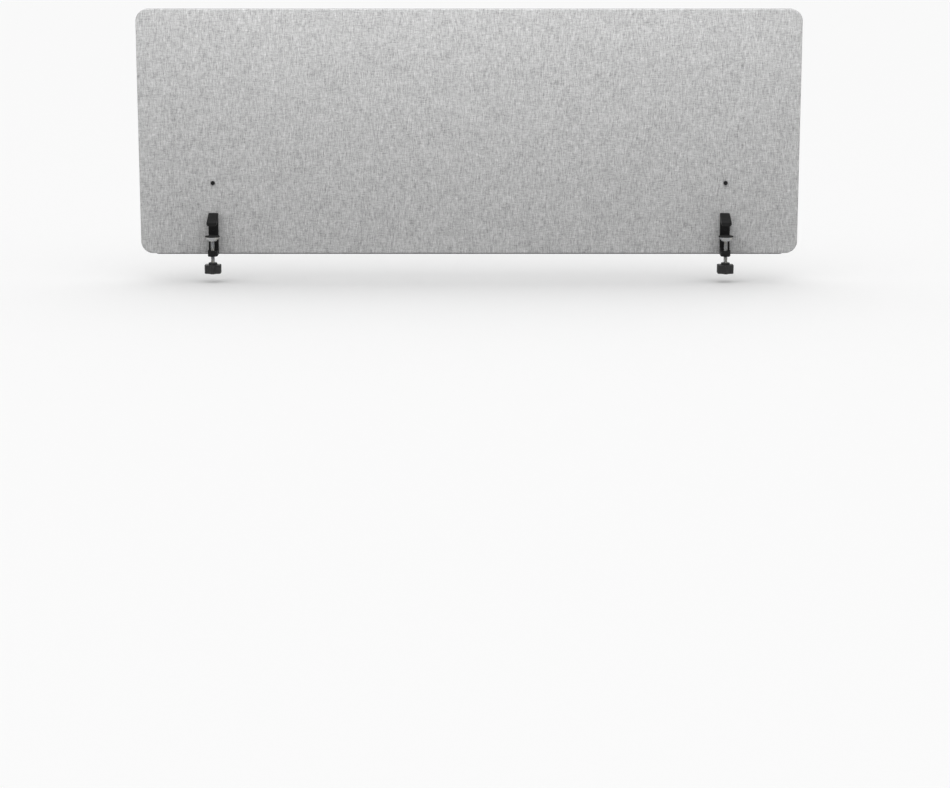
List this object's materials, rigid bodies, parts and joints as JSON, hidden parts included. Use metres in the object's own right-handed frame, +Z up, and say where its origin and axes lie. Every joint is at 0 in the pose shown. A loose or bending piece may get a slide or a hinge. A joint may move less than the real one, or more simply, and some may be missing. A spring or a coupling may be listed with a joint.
{
  "type": "desk privacy panel",
  "caption": "Upright fabric-covered desk screen with rounded corners, held behind a desk top's rear edge by black screw clamps with wedge-shaped upper jaws.",
  "frame": {"origin": "centre of the panel's bottom edge, at the middle of its thickness, on the closing strip's underside", "axes": "+X along the panel to the right as seen by the person at the desk, +Y through the panel and away from the desk, +Z up"},
  "size_m": [1.35, 0.0836, 0.535],
  "materials": {
    "cover_cloth": "light grey melange plain weave, matt",
    "foam": "pale needled padding",
    "board": "raw fibreboard",
    "strip_plastic": "extruded black plastic, satin",
    "clamp_paint": "black powder coat, fine texture",
    "bar_paint": "black powder coat, fine texture",
    "black_fastener": "black oxide, slightly oily sheen",
    "zinc_steel": "bright zinc plating",
    "clip_steel": "phosphated spring steel",
    "pad_rubber": "matt black rubber",
    "knob_plastic": "moulded black plastic, fine spark texture"
  },
  "bodies": {
    "panel": {"core_board": "board", "front_foam": "foam", "rear_foam": "foam", "front_cover": "cover_cloth", "rear_cover": "cover_cloth", "bottom_strip": "strip_plastic", "upper_sleeves": "zinc_steel", "lower_sleeves": "zinc_steel", "upper_bolts": "black_fastener", "lower_bolts": "black_fastener", "lower_washers": "black_fastener", "left_clamp_body": "clamp_paint", "left_jaw_pad": "pad_rubber", "left_backing_bar": "bar_paint", "right_clamp_body": "clamp_paint", "right_jaw_pad": "pad_rubber", "right_backing_bar": "bar_paint"},
    "left_foot": {"left_pressure_foot": "zinc_steel", "left_foot_pad": "pad_rubber"},
    "left_screw": {"left_clamp_screw": "zinc_steel", "left_foot_clip": "clip_steel", "left_knob": "knob_plastic", "left_knob_cap": "knob_plastic"},
    "right_foot": {"right_pressure_foot": "zinc_steel", "right_foot_pad": "pad_rubber"},
    "right_screw": {"right_clamp_screw": "zinc_steel", "right_foot_clip": "clip_steel", "right_knob": "knob_plastic", "right_knob_cap": "knob_plastic"}
  },
  "joints": [
    {"name": "left_foot_lift", "type": "slide", "parent": "panel", "child": "left_foot", "axis": [0, 0, 1], "range_m": [-0.018, 0.012]},
    {"name": "left_screw_turn", "type": "hinge", "parent": "left_foot", "child": "left_screw", "pos_m": [-0.525, -0.0425, 0], "axis": [0, 0, 1], "range_deg": [-5220, 3492]},
    {"name": "right_foot_lift", "type": "slide", "parent": "panel", "child": "right_foot", "axis": [0, 0, 1], "range_m": [-0.018, 0.012]},
    {"name": "right_screw_turn", "type": "hinge", "parent": "right_foot", "child": "right_screw", "pos_m": [0.525, -0.0425, 0], "axis": [0, 0, 1], "range_deg": [-5220, 3492]}
  ],
  "couplings": [
    {"joint": "left_screw_turn", "follows": "left_foot_lift", "rad_per_m": 5026.5},
    {"joint": "right_screw_turn", "follows": "right_foot_lift", "rad_per_m": 5026.5}
  ]
}
